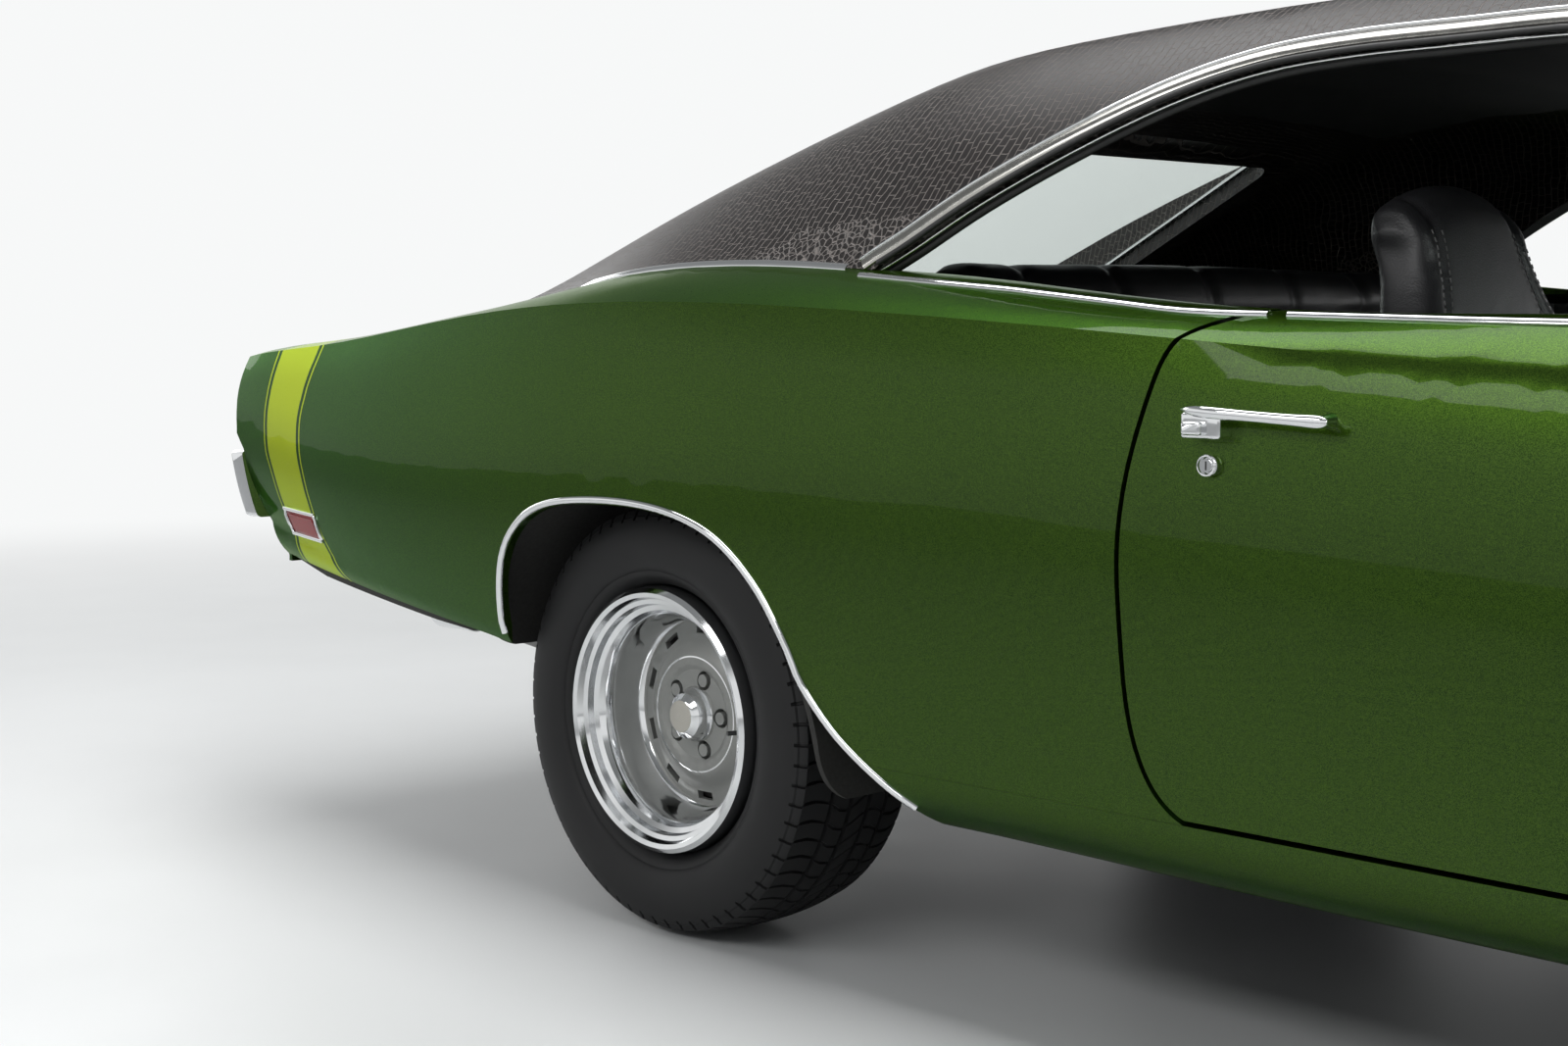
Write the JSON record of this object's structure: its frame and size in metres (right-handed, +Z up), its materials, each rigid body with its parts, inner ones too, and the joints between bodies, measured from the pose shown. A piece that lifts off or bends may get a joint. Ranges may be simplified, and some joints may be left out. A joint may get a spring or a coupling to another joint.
{
  "type": "muscle car",
  "caption": "Two-door muscle car with a buttressed vinyl roof, hidden headlamps, a loop bumper and steel wheels; doors, hood, deck lid, lamp doors, steering and wheels move.",
  "frame": {"origin": "on the ground below the middle of the car", "axes": "+X forward, +Y to the left of the car, +Z up"},
  "size_m": [5.2914, 1.9354, 1.3561],
  "materials": {
    "paint": "gloss metallic",
    "vinyl": "matte grained",
    "chrome": "polished",
    "glass": "clear",
    "tyre": "matte",
    "argent": "satin",
    "black": "satin",
    "seat": "satin",
    "plastic": "satin",
    "iron": "matte",
    "engine": "satin",
    "steel": "satin",
    "red_lens": "gloss",
    "clear_lens": "gloss"
  },
  "bodies": {
    "body": {"front_fender_left": "paint", "front_fender_right": "paint", "quarter_panel_left": "paint", "quarter_panel_right": "paint", "rocker_left": "paint", "rocker_right": "paint", "cowl_panel": "paint", "rear_deck_bridge": "paint", "roof_panel": "vinyl", "windshield": "glass", "rear_window": "glass", "bumper_front": "chrome", "nose_panel": "paint", "grille": "black", "headlamps": "clear_lens", "radiator_support": "black", "front_valance": "paint", "tail_panel": "black", "tail_lamps": "red_lens", "bumper_rear": "chrome", "floor_pan": "black", "wheelhouses": "black", "firewall": "black", "inner_fender_left": "black", "inner_fender_right": "black", "front_suspension": "iron", "rear_axle": "iron", "rear_springs": "steel", "drive_shaft": "steel", "engine_block": "engine", "fuel_tank": "steel", "exhaust": "steel", "seat_front_left": "seat", "seat_front_right": "seat", "rear_seat": "seat", "rear_shelf": "plastic", "console": "plastic", "dashboard": "plastic", "marker_lamps": "red_lens", "rear_valance": "paint"},
    "door_left": {"door_left": "paint", "door_handle_left": "chrome", "mirror": "chrome"},
    "door_right": {"door_right": "paint", "door_handle_right": "chrome"},
    "hood": {"hood": "paint"},
    "deck_lid": {"deck_lid": "paint"},
    "steering_wheel": {"steering_wheel": "plastic"},
    "headlamp_door_left": {"headlamp_door_left": "black"},
    "headlamp_door_right": {"headlamp_door_right": "black"},
    "knuckle_left": {"knuckle_left": "iron"},
    "knuckle_right": {"knuckle_right": "iron"},
    "wheel_front_left": {"wheel_front_left": "argent", "tyre_front_left": "tyre"},
    "wheel_front_right": {"wheel_front_right": "argent", "tyre_front_right": "tyre"},
    "wheel_rear_left": {"wheel_rear_left": "argent", "tyre_rear_left": "tyre"},
    "wheel_rear_right": {"wheel_rear_right": "argent", "tyre_rear_right": "tyre"}
  },
  "joints": [
    {"name": "door_left_hinge", "type": "hinge", "parent": "body", "child": "door_left", "pos_m": [0.94369, 0.9224, 0.6], "axis": [0, 0, -1], "range_deg": [0, 65]},
    {"name": "door_right_hinge", "type": "hinge", "parent": "body", "child": "door_right", "pos_m": [0.94369, -0.9224, 0.6], "axis": [0, 0, 1], "range_deg": [0, 65]},
    {"name": "hood_hinge", "type": "hinge", "parent": "body", "child": "hood", "pos_m": [1.10121, 0, 0.912], "axis": [0, -1, 0], "range_deg": [0, 50]},
    {"name": "deck_lid_hinge", "type": "hinge", "parent": "body", "child": "deck_lid", "pos_m": [-1.91389, 0, 0.948], "axis": [0, 1, 0], "range_deg": [0, 60]},
    {"name": "steer_left", "type": "hinge", "parent": "body", "child": "knuckle_left", "pos_m": [1.654, 0.716, 0.336], "axis": [0, 0, 1], "range_deg": [-33, 33]},
    {"name": "steer_right", "type": "hinge", "parent": "body", "child": "knuckle_right", "pos_m": [1.654, -0.716, 0.336], "axis": [0, 0, 1], "range_deg": [-33, 33]},
    {"name": "steering_wheel_turn", "type": "hinge", "parent": "body", "child": "steering_wheel", "pos_m": [0.39982, 0.37, 0.795], "axis": [-0.9135, 0, 0.4067], "range_deg": [-528.5, 528.5]},
    {"name": "headlamp_door_left_hinge", "type": "hinge", "parent": "body", "child": "headlamp_door_left", "pos_m": [2.41448, 0.60188, 0.636], "axis": [0.1829, -0.9831, 0], "range_deg": [0, 88]},
    {"name": "headlamp_door_right_hinge", "type": "hinge", "parent": "body", "child": "headlamp_door_right", "pos_m": [2.41448, -0.60188, 0.636], "axis": [-0.1829, -0.9831, 0], "range_deg": [0, 88]},
    {"name": "wheel_front_left_spin", "type": "hinge", "parent": "knuckle_left", "child": "wheel_front_left", "pos_m": [1.654, 0.757, 0.336], "axis": [0, 1, 0], "continuous": true},
    {"name": "wheel_front_right_spin", "type": "hinge", "parent": "knuckle_right", "child": "wheel_front_right", "pos_m": [1.654, -0.757, 0.336], "axis": [0, 1, 0], "continuous": true},
    {"name": "wheel_rear_left_spin", "type": "hinge", "parent": "body", "child": "wheel_rear_left", "pos_m": [-1.318, 0.757, 0.336], "axis": [0, 1, 0], "continuous": true},
    {"name": "wheel_rear_right_spin", "type": "hinge", "parent": "body", "child": "wheel_rear_right", "pos_m": [-1.318, -0.757, 0.336], "axis": [0, 1, 0], "continuous": true}
  ],
  "couplings": [
    {"joint": "steer_right", "follows": "steer_left", "ratio": 1},
    {"joint": "steering_wheel_turn", "follows": "steer_left", "ratio": 16},
    {"joint": "headlamp_door_right_hinge", "follows": "headlamp_door_left_hinge", "ratio": 1}
  ]
}
